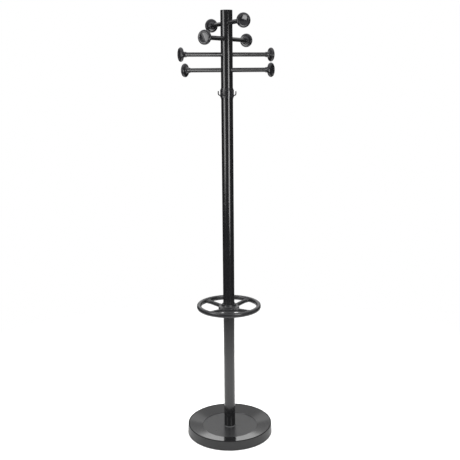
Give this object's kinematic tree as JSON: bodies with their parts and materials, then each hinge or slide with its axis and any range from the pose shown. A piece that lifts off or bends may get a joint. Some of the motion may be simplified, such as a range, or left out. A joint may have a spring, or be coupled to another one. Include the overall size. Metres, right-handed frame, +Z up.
{
  "type": "standing coat rack",
  "caption": "Free-standing coat rack: tubular post on a weighted round base with drip tray, crossed peg rods with round knobs, small hooks and an umbrella ring.",
  "frame": {"origin": "on the floor, on the axis of the post, which is the centre of the base", "axes": "+Z up along the post; +X along the lowest peg rod; +Y completes a right-handed frame, along the second peg rod from the top"},
  "size_m": [0.412, 0.412, 1.872],
  "materials": {
    "post_paint": "glossy black powder coat",
    "knob_plastic": "glossy black moulded plastic",
    "collar_plastic": "glossy black moulded plastic",
    "hook_plastic": "satin black moulded plastic",
    "ring_plastic": "satin black moulded plastic",
    "cover_plastic": "satin charcoal moulded plastic",
    "tray_plastic": "glossy charcoal moulded plastic",
    "insert_nylon": "natural grey moulded nylon",
    "zinc_steel": "zinc plated",
    "plate_paint": "satin black paint",
    "weight_iron": "as cast",
    "foot_rubber": "matte black"
  },
  "bodies": {
    "root": {"foot_tube": "post_paint", "lower_tube": "post_paint", "upper_tube": "post_paint", "head_tube": "post_paint", "post_cap": "knob_plastic", "ring_joint_insert_lower": "insert_nylon", "ring_joint_insert_upper": "insert_nylon", "ring_joint_stud": "zinc_steel", "middle_joint_insert_lower": "insert_nylon", "middle_joint_insert_upper": "insert_nylon", "middle_joint_stud": "zinc_steel", "collar_joint_insert_lower": "insert_nylon", "collar_joint_insert_upper": "insert_nylon", "collar_joint_stud": "zinc_steel", "peg_rod_1": "post_paint", "knob_1a": "knob_plastic", "knob_stud_1a": "zinc_steel", "knob_1b": "knob_plastic", "knob_stud_1b": "zinc_steel", "peg_rod_2": "post_paint", "knob_2a": "knob_plastic", "knob_stud_2a": "zinc_steel", "knob_2b": "knob_plastic", "knob_stud_2b": "zinc_steel", "peg_rod_3": "post_paint", "knob_3a": "knob_plastic", "knob_stud_3a": "zinc_steel", "knob_3b": "knob_plastic", "knob_stud_3b": "zinc_steel", "peg_rod_4": "post_paint", "knob_4a": "knob_plastic", "knob_stud_4a": "zinc_steel", "knob_4b": "knob_plastic", "knob_stud_4b": "zinc_steel", "hook_collar": "collar_plastic", "small_hook_1": "hook_plastic", "small_hook_2": "hook_plastic", "small_hook_3": "hook_plastic", "small_hook_4": "hook_plastic", "umbrella_ring": "ring_plastic", "base_cover": "cover_plastic", "drip_tray": "tray_plastic", "foot_collar": "hook_plastic", "base_weight": "weight_iron", "bottom_plate": "plate_paint", "base_washer": "zinc_steel", "base_bolt": "zinc_steel", "foot_insert": "insert_nylon", "rubber_foot_1": "foot_rubber", "rubber_foot_2": "foot_rubber", "rubber_foot_3": "foot_rubber", "rubber_foot_4": "foot_rubber", "rubber_foot_5": "foot_rubber", "rubber_foot_6": "foot_rubber"}
  },
  "joints": []
}
